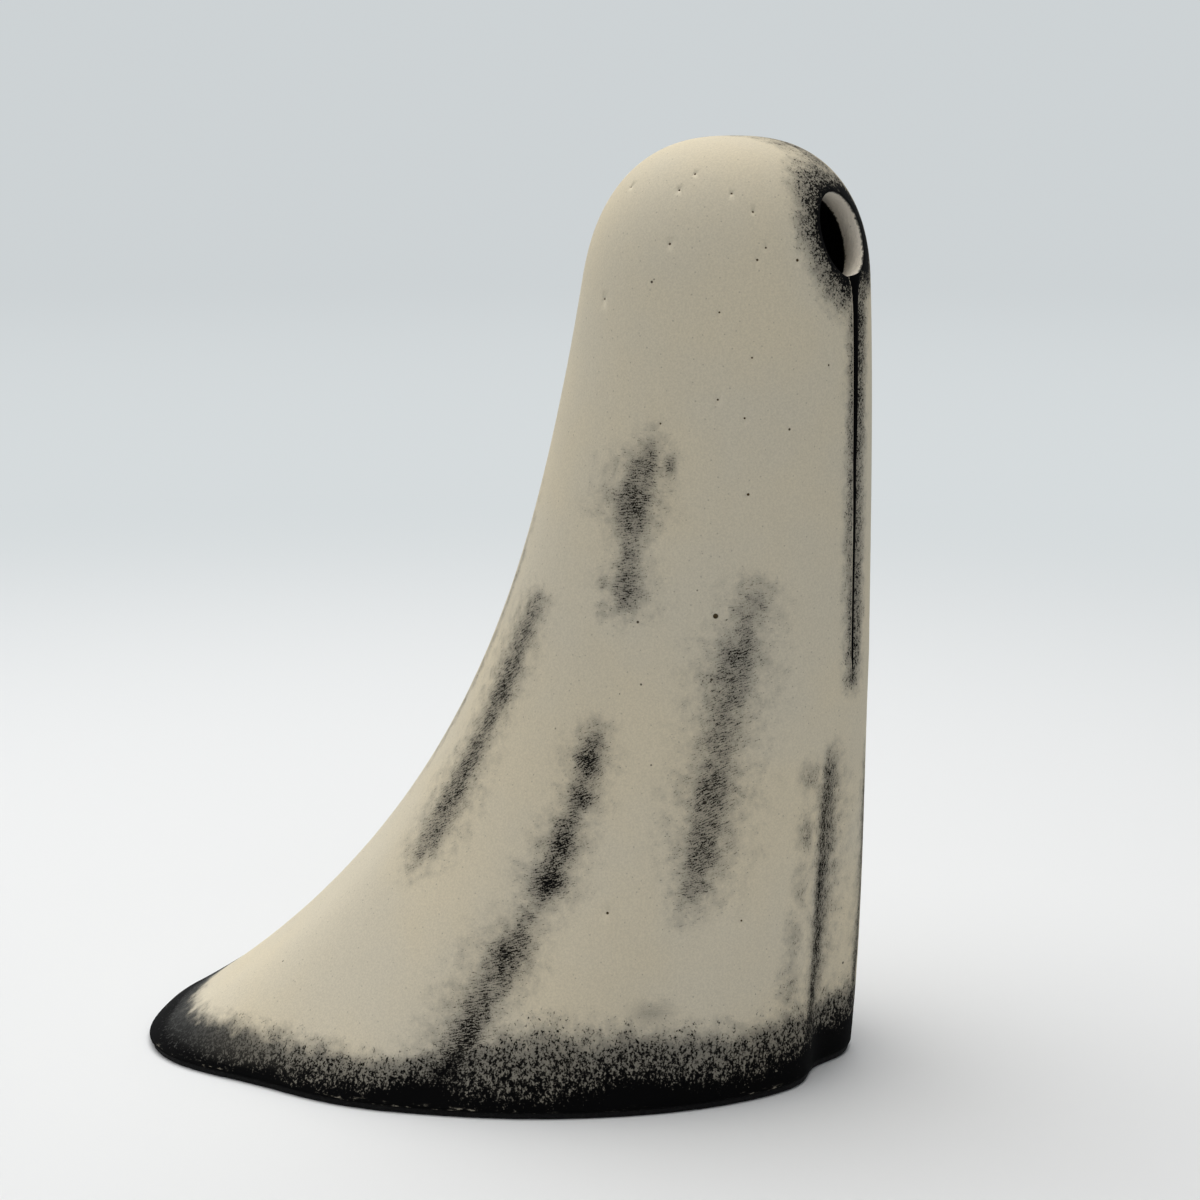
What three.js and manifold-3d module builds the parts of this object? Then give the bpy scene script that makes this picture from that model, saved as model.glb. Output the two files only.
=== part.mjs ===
// A ghost figurine: an empty hooded cloak, cast hollow, with a train that sweeps out behind it.
// Millimetres, +Z up. The face opening looks along -Y and the train trails towards +Y and -X.
import * as THREE from "three";
import { mergeVertices } from "three/addons/utils/BufferGeometryUtils.js";
import Module from "manifold-3d";

const wasm = await Module();
wasm.setup();

// The cloak, measured from its hem up
const cloakHeight = 149;
const domeHeight = 23.2;
const domeSquareness = 2.5;
const hoodDepth = 38.2;
const hoodWidth = 41;
const frontBow = 2.1;
const frontFoot = 0.6;
const backSlope = 9;
const sideSlope = 4;
const trainLength = 71.7;
const trainFall = 47;
const sideFlare = 15;
const sideFall = 45.5;
const trainBluntness = 2.5;
const trainSwing = THREE.MathUtils.degToRad(26);
const wall = 3.4;

// The fold valleys: each runs up from the hem, from one angle round the cloak to another. Those at
// the sides begin a little above the hem, those at the front cut through it, and a wide one on
// either side draws the train in, most at the hem.
const foldOnset = 5;
const sideFold = { depth: 1.3, width: 6.5, atHem: 0 };
const frontFold = { depth: 3.1, width: 6.2, atHem: 1 };
const trainFold = { depth: 2.4, width: 14.5, atHem: 1.7 };
const folds = [
  { hem: -10, top: -27, height: 66, ...frontFold },
  { hem: 14, top: 10, height: 66, ...frontFold },
  { hem: 41, top: 42, height: 90, ...sideFold },
  { hem: 69, top: 67, height: 72, ...sideFold },
  { hem: 107, top: 104, height: 96, ...sideFold },
  { hem: 139, top: 140, height: 84, ...trainFold },
  { hem: 172, top: 172, height: 110, ...sideFold },
  { hem: -172, top: -158, height: 106, ...sideFold },
  { hem: -139, top: -140, height: 96, ...trainFold },
  { hem: -97, top: -107, height: 116, ...sideFold },
  { hem: -56, top: -62, height: 96, ...sideFold },
];

// The face opening and the groove below it
const faceWidth = 11.8;
const faceHeight = 13.4;
const faceCentre = 134.1;
const faceShift = -0.9;
const faceLean = THREE.MathUtils.degToRad(7);
const faceTilt = THREE.MathUtils.degToRad(14);
const grooveEnd = 63;
const grooveTopWidth = 5;
const grooveWidth = 1.2;
const grooveEndWidth = 0.7;
const grooveDepth = 1.4;
const grooveEndDepth = 0.5;
const grooveFunnel = 8.5;

// The board in the hem and the felt under both
const boardThickness = 2;
const boardLedge = 1.6;
const boardClearance = 0.3;
const feltThickness = 1;
const feltReveal = 0.4;

// How finely the curved surfaces are faceted
const outerSides = 72;
const outerBodyRows = 22;
const outerDomeRows = 9;
const innerSides = 44;
const innerBodyRows = 16;
const innerDomeRows = 6;

const shoulderHeight = cloakHeight - domeHeight;
const up = new THREE.Vector3(0, 0, 1);

// Level 0 is the hem, 1 the shoulder where the dome starts and 2 the crown.
function station(level) {
  if (level <= 1) {
    return { height: level * shoulderHeight, closing: 1 };
  }
  const turn = (Math.min(level, 2) - 1) * Math.PI / 2;
  return {
    height: shoulderHeight + domeHeight * Math.sin(turn) ** (2 / domeSquareness),
    closing: Math.max(Math.cos(turn), 0) ** (2 / domeSquareness),
  };
}

// How far the folds draw the cloak in at an angle and a height, where its radius is known.
function foldDraw(angle, height, radius) {
  let draw = 0;
  for (const fold of folds) {
    const rise = Math.max(height, 0) / fold.height;
    if (rise >= 1) {
      continue;
    }
    const valley = THREE.MathUtils.degToRad(THREE.MathUtils.lerp(fold.hem, fold.top, rise));
    const apart = Math.atan2(Math.sin(angle - valley), Math.cos(angle - valley)) * radius;
    const begun = 1 - (1 - fold.atHem) * Math.exp(-Math.max(height, 0) / foldOnset);
    draw += fold.depth * begun * (1 - rise) * Math.exp(-((apart / fold.width) ** 2));
  }
  return draw;
}

// A point of the cloak's outside. Angle 0 is the side opposite the train and grows counterclockwise.
function cloakPoint(angle, level) {
  const { height, closing } = station(level);
  const rise = height / cloakHeight;
  const spread = Math.exp(-height / trainFall);
  const bow = frontBow * (1 - Math.abs(2 * rise - 1) ** 3) + frontFoot * (1 - rise) ** 2;
  const front = -hoodDepth / 2 - bow;
  const back = hoodDepth / 2 + backSlope * (1 - rise) + trainLength * spread;
  const side = hoodWidth / 2 + sideSlope * (1 - rise) + sideFlare * Math.exp(-height / sideFall);
  const middle = (front + back) / 2;
  const depth = (back - front) / 2;
  const power = Math.cos(angle) < 0 ? 2 + (trainBluntness - 2) * Math.min(spread, 1) : 2;
  const along = Math.abs(Math.cos(angle) / depth) ** power;
  const across = Math.abs(Math.sin(angle) / side) ** power;
  const plain = (along + across) ** (-1 / power);
  const radius = (plain - foldDraw(angle, height, plain)) * closing;
  const point = new THREE.Vector3(radius * Math.sin(angle), middle - radius * Math.cos(angle), height);
  return point.applyAxisAngle(up, trainSwing);
}

// The unit normal of the cloak's outside, from its slopes round and up.
function cloakNormal(angle, level) {
  const step = 0.002;
  const round = cloakPoint(angle + step, level).sub(cloakPoint(angle - step, level));
  const rise = cloakPoint(angle, level + step).sub(cloakPoint(angle, level - step));
  return round.cross(rise).normalize();
}

function angles(count) {
  return Array.from({ length: count }, (_, index) => index * 2 * Math.PI / count);
}

// A ring of the outside moved in by the wall along its normals, for the hollow.
function innerRing(level) {
  return angles(innerSides).map((angle) =>
    cloakPoint(angle, level).addScaledVector(cloakNormal(angle, level), -wall));
}

// The outline at a height, moved in until it leaves a wall of a thickness outside it, and then by a
// clearance. It is laid at z.
function insetOutline(height, thickness, clearance, z) {
  const level = height / shoulderHeight;
  return angles(outerSides).map((angle) => {
    const normal = cloakNormal(angle, level);
    const flat = Math.hypot(normal.x, normal.y);
    const inward = new THREE.Vector3(-normal.x, -normal.y, 0).divideScalar(flat);
    const point = cloakPoint(angle, level).addScaledVector(inward, thickness / flat + clearance);
    return point.setZ(z);
  });
}

function average(points) {
  const sum = points.reduce((total, point) => total.add(point), new THREE.Vector3());
  return sum.divideScalar(points.length);
}

// A closed body through rings from the bottom up, with its two ends closed by fans.
function loft(rings, top = average(rings[rings.length - 1])) {
  const sides = rings[0].length;
  const points = [...rings.flat(), average(rings[0]), top];
  const bottomPoint = points.length - 2;
  const topPoint = points.length - 1;
  const index = [];
  for (let side = 0; side < sides; side += 1) {
    const next = (side + 1) % sides;
    const last = (rings.length - 1) * sides;
    index.push(bottomPoint, next, side);
    index.push(topPoint, last + side, last + next);
    for (let row = 0; row < rings.length - 1; row += 1) {
      const low = row * sides;
      const high = low + sides;
      index.push(low + side, low + next, high + next);
      index.push(low + side, high + next, high + side);
    }
  }
  const geometry = new THREE.BufferGeometry().setFromPoints(points);
  geometry.setIndex(index);
  return geometry;
}

function toSolid(geometry) {
  geometry.deleteAttribute("normal");
  geometry.deleteAttribute("uv");
  const merged = mergeVertices(geometry, 1e-5);
  return new wasm.Manifold(new wasm.Mesh({
    numProp: 3,
    vertProperties: new Float32Array(merged.attributes.position.array),
    triVerts: new Uint32Array(merged.index.array),
  }));
}

function toGeometry(solid) {
  const mesh = solid.getMesh();
  const geometry = new THREE.BufferGeometry();
  geometry.setAttribute("position", new THREE.BufferAttribute(mesh.vertProperties, 3));
  geometry.setIndex(new THREE.BufferAttribute(mesh.triVerts, 1));
  return geometry;
}

// The levels of a shell's rings, from the lowest up to just under the crown.
function levels(bodyRows, domeRows, lowest) {
  const body = Array.from({ length: bodyRows }, (_, row) => lowest + (1 - lowest) * row / bodyRows);
  const dome = Array.from({ length: domeRows }, (_, row) => 1 + row / domeRows);
  return [...body, ...dome];
}

// The level of a height, on the body or on the dome.
function levelAt(height) {
  if (height <= shoulderHeight) {
    return height / shoulderHeight;
  }
  const share = Math.min((height - shoulderHeight) / domeHeight, 1);
  return 1 + Math.asin(share ** (domeSquareness / 2)) * 2 / Math.PI;
}

// How far forward the cloak stands at a height, on the line through the middle of the face.
function frontAt(height) {
  const level = levelAt(height);
  let low = -Math.PI / 2;
  let high = 0;
  for (let pass = 0; pass < 30; pass += 1) {
    const middle = (low + high) / 2;
    if (cloakPoint(middle, level).x < 0) {
      low = middle;
    } else {
      high = middle;
    }
  }
  return cloakPoint((low + high) / 2, level).y;
}

function outerSolid() {
  const rings = levels(outerBodyRows, outerDomeRows, 0)
    .map((level) => angles(outerSides).map((angle) => cloakPoint(angle, level)));
  return toSolid(loft(rings, cloakPoint(0, 2)));
}

// The hollow runs out well below the hem, so that it leaves the underside open.
function hollowSolid() {
  const lowest = -4 * wall / shoulderHeight;
  const rings = levels(innerBodyRows, innerDomeRows, lowest).map((level) => innerRing(level));
  return toSolid(loft(rings, cloakPoint(0, 2).addScaledVector(up, -wall)));
}

// The board's outline, which leaves a ledge of the wall above it all round.
function boardOutline(clearance, z) {
  return insetOutline(boardThickness, wall - boardLedge, clearance, z);
}

// The seat for the board, cut up from below the hem.
function rebateSolid() {
  return toSolid(loft([boardOutline(0, -boardThickness), boardOutline(0, boardThickness)]));
}

// An oval pushed through the front of the hood, square to its slope.
function faceSolid() {
  const oval = new THREE.Shape();
  oval.absellipse(faceShift, 0, faceWidth / 2, faceHeight / 2, 0, 2 * Math.PI, false, faceLean);
  const reach = 3 * wall;
  const geometry = new THREE.ExtrudeGeometry(oval, {
    depth: 2 * reach, bevelEnabled: false, curveSegments: 14,
  });
  geometry.translate(0, 0, -reach);
  geometry.rotateX(Math.PI / 2 - faceTilt);
  geometry.translate(0, frontAt(faceCentre), faceCentre);
  return toSolid(geometry);
}

// A V groove down the front, opening into a funnel under the face and running out at its foot.
function grooveSolid() {
  const top = faceCentre - faceHeight / 2 + grooveDepth;
  const funnelFoot = top - grooveFunnel;
  const bodySteps = 8;
  const funnelSteps = 6;
  const heights = [];
  for (let step = 0; step < bodySteps; step += 1) {
    heights.push(THREE.MathUtils.lerp(grooveEnd, funnelFoot, step / bodySteps));
  }
  for (let step = 0; step <= funnelSteps; step += 1) {
    heights.push(THREE.MathUtils.lerp(funnelFoot, top, step / funnelSteps));
  }
  const rings = heights.map((height) => {
    const front = frontAt(height);
    const along = Math.min((height - grooveEnd) / (funnelFoot - grooveEnd), 1);
    const flare = Math.max((height - funnelFoot) / grooveFunnel, 0) ** 4;
    const straight = THREE.MathUtils.lerp(grooveEndWidth, grooveWidth, along);
    const width = THREE.MathUtils.lerp(straight, grooveTopWidth, flare);
    const depth = THREE.MathUtils.lerp(grooveEndDepth, grooveDepth, along);
    const outside = front - grooveDepth;
    const reach = width / 2 * (depth + grooveDepth) / depth;
    return [
      new THREE.Vector3(-reach, outside, height),
      new THREE.Vector3(reach, outside, height),
      new THREE.Vector3(0, front + depth, height),
    ];
  });
  return toSolid(loft(rings));
}

function shroudShell() {
  const hollow = outerSolid().subtract(hollowSolid());
  const seated = hollow.subtract(rebateSolid());
  const opened = seated.subtract(faceSolid());
  return toGeometry(opened.subtract(grooveSolid()));
}

function baseBoard() {
  return loft([boardOutline(boardClearance, 0), boardOutline(boardClearance, boardThickness)]);
}

function feltBase() {
  return loft([insetOutline(0, 0, feltReveal, -feltThickness), insetOutline(0, 0, feltReveal, 0)]);
}

const castCream = new THREE.MeshStandardMaterial({ color: "#cfc6b0", roughness: 0.85, metalness: 0 });
const darkBoard = new THREE.MeshStandardMaterial({ color: "#2c2824", roughness: 0.9, metalness: 0 });
const blackFelt = new THREE.MeshStandardMaterial({ color: "#161616", roughness: 1, metalness: 0 });

function piece(name, geometry, material) {
  const mesh = new THREE.Mesh(geometry, material);
  mesh.name = name;
  return mesh;
}

const figurine = new THREE.Group();
figurine.add(
  piece("shroud_shell", shroudShell(), castCream),
  piece("base_board", baseBoard(), darkBoard),
  piece("felt_base", feltBase(), blackFelt),
);

// The figurine stands on its felt with the middle of its box over the origin.
const box = new THREE.Box3().setFromObject(figurine);
const middle = box.getCenter(new THREE.Vector3());
figurine.position.set(-middle.x, -middle.y, feltThickness);

export default figurine;
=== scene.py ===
# %% [markdown]
# # A hollow ghost figurine
# The real thing is an empty hooded cloak, cast hollow in a cream material. It has an oval face
# opening, a groove down the front, shallow folds and a train that sweeps out behind. A maker
# brushed nearly dry black paint along the folds, round the opening and round the hem.
# This lesson dresses the imported model. The model gives the place and the size of everything, so
# the first step loads it as a fixed frame.

# %% Load the frame
import math

import bmesh
import bpy
import numpy as np
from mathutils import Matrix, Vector
from mathutils.kdtree import KDTree


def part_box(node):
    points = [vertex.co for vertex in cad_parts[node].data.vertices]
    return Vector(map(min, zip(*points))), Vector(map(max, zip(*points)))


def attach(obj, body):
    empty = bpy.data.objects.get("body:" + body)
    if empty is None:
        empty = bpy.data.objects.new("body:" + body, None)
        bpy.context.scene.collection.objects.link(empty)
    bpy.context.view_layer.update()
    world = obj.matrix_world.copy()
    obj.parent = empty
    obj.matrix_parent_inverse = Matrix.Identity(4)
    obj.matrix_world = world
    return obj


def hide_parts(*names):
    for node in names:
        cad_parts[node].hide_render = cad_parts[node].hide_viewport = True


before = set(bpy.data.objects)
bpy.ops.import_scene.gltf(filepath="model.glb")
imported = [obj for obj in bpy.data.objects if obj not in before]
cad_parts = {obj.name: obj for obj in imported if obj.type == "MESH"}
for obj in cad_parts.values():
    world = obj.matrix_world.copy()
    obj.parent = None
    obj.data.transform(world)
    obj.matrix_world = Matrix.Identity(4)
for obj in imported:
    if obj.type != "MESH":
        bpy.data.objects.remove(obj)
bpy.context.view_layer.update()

MM = 0.001

# %% [markdown]
# ## The cloak's form
# A sculptor would model the cloak freely in clay and take a mould from it. A free model can't be
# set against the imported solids, so the form here is written as a rule instead: how far the cloak
# stands out at each angle round it and each height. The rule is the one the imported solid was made
# by, in millimetres above the hem, so the fine mesh and the solid agree all over.
# Angle 0 looks to the front and angles grow counterclockwise. Level 0 is the hem, 1 the shoulder
# where the hood's dome starts, and 2 the crown.

# %% The cloak's sizes
CLOAK_HEIGHT = 149.0
DOME_HEIGHT = 23.2
DOME_SQUARENESS = 2.5
HOOD_DEPTH = 38.2
HOOD_WIDTH = 41.0
FRONT_BOW = 2.1
FRONT_FOOT = 0.6
BACK_SLOPE = 9.0
SIDE_SLOPE = 4.0
TRAIN_LENGTH = 71.7
TRAIN_FALL = 47.0
SIDE_FLARE = 15.0
SIDE_FALL = 45.5
TRAIN_BLUNTNESS = 2.5
TRAIN_SWING = math.radians(26)
WALL = 3.4
SHOULDER = CLOAK_HEIGHT - DOME_HEIGHT

# Each fold valley: angle at the hem, angle at its top, height, depth, width, share of it at the hem
FOLD_ONSET = 5.0
SIDE_FOLD = (1.3, 6.5, 0.0)
FRONT_FOLD = (3.1, 6.2, 1.0)
TRAIN_FOLD = (2.4, 14.5, 1.7)
FOLDS = (
    (-10, -27, 66, *FRONT_FOLD),
    (14, 10, 66, *FRONT_FOLD),
    (41, 42, 90, *SIDE_FOLD),
    (69, 67, 72, *SIDE_FOLD),
    (107, 104, 96, *SIDE_FOLD),
    (139, 140, 84, *TRAIN_FOLD),
    (172, 172, 110, *SIDE_FOLD),
    (-172, -158, 106, *SIDE_FOLD),
    (-139, -140, 96, *TRAIN_FOLD),
    (-97, -107, 116, *SIDE_FOLD),
    (-56, -62, 96, *SIDE_FOLD),
)


def wrapped(angle):
    """An angle brought back to between minus and plus half a turn."""
    return np.arctan2(np.sin(angle), np.cos(angle))


def station(level):
    """The height of a level, and how much of the full radius the dome leaves there."""
    turn = (np.clip(level, 1, 2) - 1) * math.pi / 2
    dome = SHOULDER + DOME_HEIGHT * np.sin(turn) ** (2 / DOME_SQUARENESS)
    height = np.where(level < 1, level * SHOULDER, dome)
    return height, np.clip(np.cos(turn), 0, 1) ** (2 / DOME_SQUARENESS)


def level_at(height):
    """The level of a height, on the body or on the dome."""
    share = np.clip((height - SHOULDER) / DOME_HEIGHT, 0, 1)
    dome = 1 + np.arcsin(share ** (DOME_SQUARENESS / 2)) * 2 / math.pi
    return np.where(height < SHOULDER, height / SHOULDER, dome)


def fold_draw(angle, height, radius):
    """How far the fold valleys draw the cloak in."""
    draw = 0 * radius
    for hem, top, reach, depth, width, at_hem in FOLDS:
        rise = np.clip(height, 0, None) / reach
        valley = np.radians(hem + (top - hem) * rise)
        apart = wrapped(angle - valley) * radius
        begun = 1 - (1 - at_hem) * np.exp(-np.clip(height, 0, None) / FOLD_ONSET)
        draw = draw + depth * begun * np.clip(1 - rise, 0, None) * np.exp(-((apart / width) ** 2))
    return draw


def middle_of(height):
    """Half the cloak's depth at a height, and how far back the middle of that depth lies."""
    rise = height / CLOAK_HEIGHT
    bow = FRONT_BOW * (1 - np.abs(2 * rise - 1) ** 3) + FRONT_FOOT * (1 - rise) ** 2
    front = -HOOD_DEPTH / 2 - bow
    back = HOOD_DEPTH / 2 + BACK_SLOPE * (1 - rise) + TRAIN_LENGTH * np.exp(-height / TRAIN_FALL)
    return (back - front) / 2, (front + back) / 2


def turned(x, y, swing):
    return x * math.cos(swing) - y * math.sin(swing), x * math.sin(swing) + y * math.cos(swing)


def cloak(angle, level):
    """Points of the cloak's outside."""
    height, closing = station(level)
    rise = height / CLOAK_HEIGHT
    depth, middle = middle_of(height)
    side = HOOD_WIDTH / 2 + SIDE_SLOPE * (1 - rise) + SIDE_FLARE * np.exp(-height / SIDE_FALL)
    blunt = 2 + (TRAIN_BLUNTNESS - 2) * np.clip(np.exp(-height / TRAIN_FALL), 0, 1)
    power = np.where(np.cos(angle) < 0, blunt, 2.0)
    along = np.abs(np.cos(angle) / depth) ** power
    across = np.abs(np.sin(angle) / side) ** power
    plain = (along + across) ** (-1 / power)
    radius = (plain - fold_draw(angle, height, plain)) * closing
    x, y = turned(radius * np.sin(angle), middle - radius * np.cos(angle), TRAIN_SWING)
    return np.stack([x, y, height + 0 * x], -1)


def cloak_normal(angle, level):
    """The outside's unit normals, from its slopes round and up."""
    step = 0.002
    level = np.clip(level, None, 2 - 3 * step)
    round_slope = cloak(angle + step, level) - cloak(angle - step, level)
    up_slope = cloak(angle, level + step) - cloak(angle, level - step)
    normal = np.cross(round_slope, up_slope)
    return normal / np.linalg.norm(normal, axis=-1, keepdims=True)


def skin(angle, level, inset):
    """Points of the cloak's outside, moved in by a wall along the normals."""
    normal = cloak_normal(angle, level)
    crown = np.asarray(level)[..., None] > 1.99
    normal = np.where(crown, (0.0, 0.0, 1.0), normal)
    return cloak(angle, level) - inset * normal


def surface_point(angle, height):
    """The outside's points and unit normals at angles in degrees and heights in mm."""
    angle, height = np.radians(np.asarray(angle, float)), np.asarray(height, float)
    return cloak(angle, level_at(height)), cloak_normal(angle, level_at(height))


def front_angle(level):
    """The angle at which the cloak crosses the line through the middle of the face."""
    level = np.clip(level, None, 1.5)
    low, high = np.full_like(level, -math.pi / 2), np.zeros_like(level)
    for _ in range(40):
        middle = (low + high) / 2
        left = cloak(middle, level)[..., 0] < 0
        low, high = np.where(left, middle, low), np.where(left, high, middle)
    return (low + high) / 2


# %% [markdown]
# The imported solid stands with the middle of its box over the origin. The same rule's own box
# says how far that moves the cloak's axis, and the felt under it lifts it by a millimetre.

# %% Place the form in the frame
ring_angles, ring_levels = np.meshgrid(np.linspace(-math.pi, math.pi, 2881), np.linspace(0, 1, 41))
sample = cloak(ring_angles, ring_levels).reshape(-1, 3)
shell_low, shell_high = (np.array(corner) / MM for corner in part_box("shroud_shell"))
AXIS = (shell_low + shell_high) / 2 - (sample.min(0) + sample.max(0)) / 2
AXIS[2] = shell_low[2]
print("axis stands at", AXIS.round(3), "mm")


def placed(points):
    """Form millimetres to frame metres."""
    return (points + AXIS) * MM


def form_place(positions):
    """The angle and the height on the form of points in the frame, with their form millimetres."""
    points = positions / MM - AXIS
    x, y = turned(points[:, 0], points[:, 1], -TRAIN_SWING)
    return np.arctan2(x, middle_of(points[:, 2])[1] - y), points[:, 2], points


# %% [markdown]
# ## The shell's two skins
# A hollow casting has an outer skin that the mould gives and an inner one, a wall's thickness in.
# Each is a flat grid that is wrapped round like a sheet of paper, closed down the back and
# gathered at the crown. The grid's columns are crowded together at the front, where the fine
# groove and the face opening need them.

# %% Wrap a grid round the form
COLUMN_CROWDING = 0.6


def wrap_sheet(bm, columns, levels, inset):
    """A grid of quads wrapped round the form. Returns its faces."""
    rows = len(levels) - 1
    made = bmesh.ops.create_grid(bm, x_segments=columns, y_segments=rows, size=0.5)
    flat = np.array([vert.co for vert in made["verts"]])
    flat = (flat - flat.min(0)) / np.maximum(np.ptp(flat, axis=0), 1e-9)
    level = np.interp(flat[:, 1], np.linspace(0, 1, rows + 1), levels)
    turn = (flat[:, 0] - 0.5) * 2 * math.pi
    angle = front_angle(level) + turn - COLUMN_CROWDING * np.sin(turn)
    for vert, point in zip(made["verts"], placed(skin(angle, level, inset))):
        vert.co = point
    faces = list({face for vert in made["verts"] for face in vert.link_faces})
    bmesh.ops.remove_doubles(bm, verts=made["verts"], dist=1e-6)
    return [face for face in faces if face.is_valid]


# %% [markdown]
# ## The face opening
# The caster cut an oval through the hood with a knife and left the wall's edge bare. A boolean
# would cut it with ragged slivers, so here the quads in the way are deleted, a ring of points is
# laid on the skin along the oval, and a bridge of faces joins it to the quads around it.

# %% Lay rings of points along the oval
FACE_WIDTH = 11.8
FACE_HEIGHT = 13.4
FACE_CENTRE = 134.1
FACE_SHIFT = -0.9
FACE_LEAN = math.radians(7)
FACE_TILT = math.radians(14)
FACE_UP = np.array([0, math.sin(FACE_TILT), math.cos(FACE_TILT)])
face_level = level_at(np.array([FACE_CENTRE]))
FACE_MIDDLE = cloak(front_angle(face_level), face_level)[0]


def face_place(points):
    """How far form points lie across and up from the middle of the oval, in its own radii."""
    across, up = turned(points[..., 0] - FACE_SHIFT, (points - FACE_MIDDLE) @ FACE_UP, -FACE_LEAN)
    return across / (FACE_WIDTH / 2), up / (FACE_HEIGHT / 2)


def seen_at(across, up, inset):
    """The skin's points behind places of the oval, found by stepping along the skin's slopes."""
    step = 1e-4
    level = level_at(FACE_CENTRE + up * FACE_HEIGHT / 2)
    angle = front_angle(level) + across * 0.25
    target = np.stack([across, up], -1)
    for _ in range(12):
        here = np.stack(face_place(skin(angle, level, inset)), -1)
        by_angle = (np.stack(face_place(skin(angle + step, level, inset)), -1) - here) / step
        by_level = (np.stack(face_place(skin(angle, level + step, inset)), -1) - here) / step
        change = np.linalg.solve(np.stack([by_angle, by_level], -1), (target - here)[..., None])
        angle, level = angle + change[:, 0, 0], level + change[:, 1, 0]
    return skin(angle, level, inset)


def lay_on_oval(verts, scale, inset):
    """Moves a ring's points on to the oval, at a multiple of its size."""
    points = np.array([vert.co for vert in verts]) / MM - AXIS
    across, up = face_place(points)
    way = np.arctan2(up, across)
    for vert, point in zip(verts, placed(seen_at(scale * np.cos(way), scale * np.sin(way), inset))):
        vert.co = point


def ring_edges(verts):
    """The edges between neighbours of a ring that has no faces on one side."""
    ring = set(verts)
    return [edge for edge in {e for v in verts for e in v.link_edges}
            if edge.verts[0] in ring and edge.verts[1] in ring and len(edge.link_faces) < 2]


OVAL_POINTS = 128
COLLAR = 1.14
CLEARED = 1.3


def open_face(bm, faces, inset):
    """Cuts the oval into a skin. Returns the edges of its rim."""
    doomed = []
    for face in faces:
        centre = np.array(face.calc_center_median()) / MM - AXIS
        across, up = face_place(centre)
        if centre[1] < 0 and math.hypot(across, up) < CLEARED:
            doomed.append(face)
    bmesh.ops.delete(bm, geom=doomed, context="FACES")
    rough = [edge for edge in bm.edges if edge.is_boundary
             and math.hypot(*face_place(np.array(edge.verts[0].co) / MM - AXIS)) < 2 * CLEARED
             and edge.verts[0].co.y < placed(FACE_MIDDLE)[1] + 15 * MM
             and abs(inset_of(edge) - inset) < WALL / 2]
    ring = bmesh.ops.create_circle(bm, segments=OVAL_POINTS, radius=FACE_WIDTH / 2 * MM)["verts"]
    for vert in ring:
        x, y, _ = vert.co
        vert.co = placed(FACE_MIDDLE) + np.array([x + FACE_SHIFT * MM, 0, 0]) + FACE_UP * y
    lay_on_oval(ring, COLLAR, inset)
    made = bmesh.ops.bridge_loops(bm, edges=rough + ring_edges(ring))
    out = bmesh.ops.extrude_edge_only(bm, edges=ring_edges(ring))["geom"]
    rim = [item for item in out if isinstance(item, bmesh.types.BMVert)]
    lay_on_oval(rim, 1.0, inset)
    print("face opening:", len(doomed), "quads cut away,", len(made["faces"]), "bridged")
    return ring_edges(rim)


def inset_of(edge):
    """How deep under the outside an edge's first point lies, near the front."""
    point = np.array(edge.verts[0].co) / MM - AXIS
    angle, height, _ = form_place(np.array([edge.verts[0].co]))
    outside = cloak(angle, level_at(height))[0]
    return math.hypot(*(outside - point)[:2])


# %% [markdown]
# ## The groove down the front
# Below the opening the real one has a narrow V groove, opened into a funnel at the sill and
# running out to nothing lower down. It could be cut with a long prism, but the front's columns are
# close enough together that pushing their points back gives the same V with a soft lip.

# %% Push the groove in
GROOVE_END = 63.0
GROOVE_TOP_WIDTH = 5.0
GROOVE_WIDTH = 1.2
GROOVE_END_WIDTH = 0.7
GROOVE_DEPTH = 1.4
GROOVE_END_DEPTH = 0.5
GROOVE_FUNNEL = 8.5
GROOVE_TOP = FACE_CENTRE - FACE_HEIGHT / 2 + GROOVE_DEPTH
GROOVE_RUN_OUT = 5.0


def groove_at(height):
    """The groove's half width and depth at a height."""
    foot = GROOVE_TOP - GROOVE_FUNNEL
    share = np.clip((height - GROOVE_END) / (foot - GROOVE_END), 0, 1)
    flare = np.clip((height - foot) / GROOVE_FUNNEL, 0, 1) ** 4
    straight = GROOVE_END_WIDTH + (GROOVE_WIDTH - GROOVE_END_WIDTH) * share
    width = straight + (GROOVE_TOP_WIDTH - straight) * flare
    depth = GROOVE_END_DEPTH + (GROOVE_DEPTH - GROOVE_END_DEPTH) * share
    fade = np.clip((height - GROOVE_END) / GROOVE_RUN_OUT, 0, 1)
    over = height > GROOVE_TOP + GROOVE_DEPTH
    return width / 2 * fade, np.where(over, 0, depth * fade)


def press_groove(verts):
    moved = 0
    for vert in verts:
        point = np.array(vert.co) / MM - AXIS
        half, depth = groove_at(point[2])
        if point[1] < 0 and half > 0 and abs(point[0]) < half:
            vert.co.y += depth * (1 - abs(point[0]) / half) * MM
            moved += 1
    print("groove:", moved, "points pushed in")


# %% [markdown]
# ## Pinholes
# Bubbles of air against the mould leave small round craters. A bump in the material would look
# flat from the side, so each is opened in the mesh: the nine quads round its place give way to a
# ring of points, and the ring is drawn in twice and closed.

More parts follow.
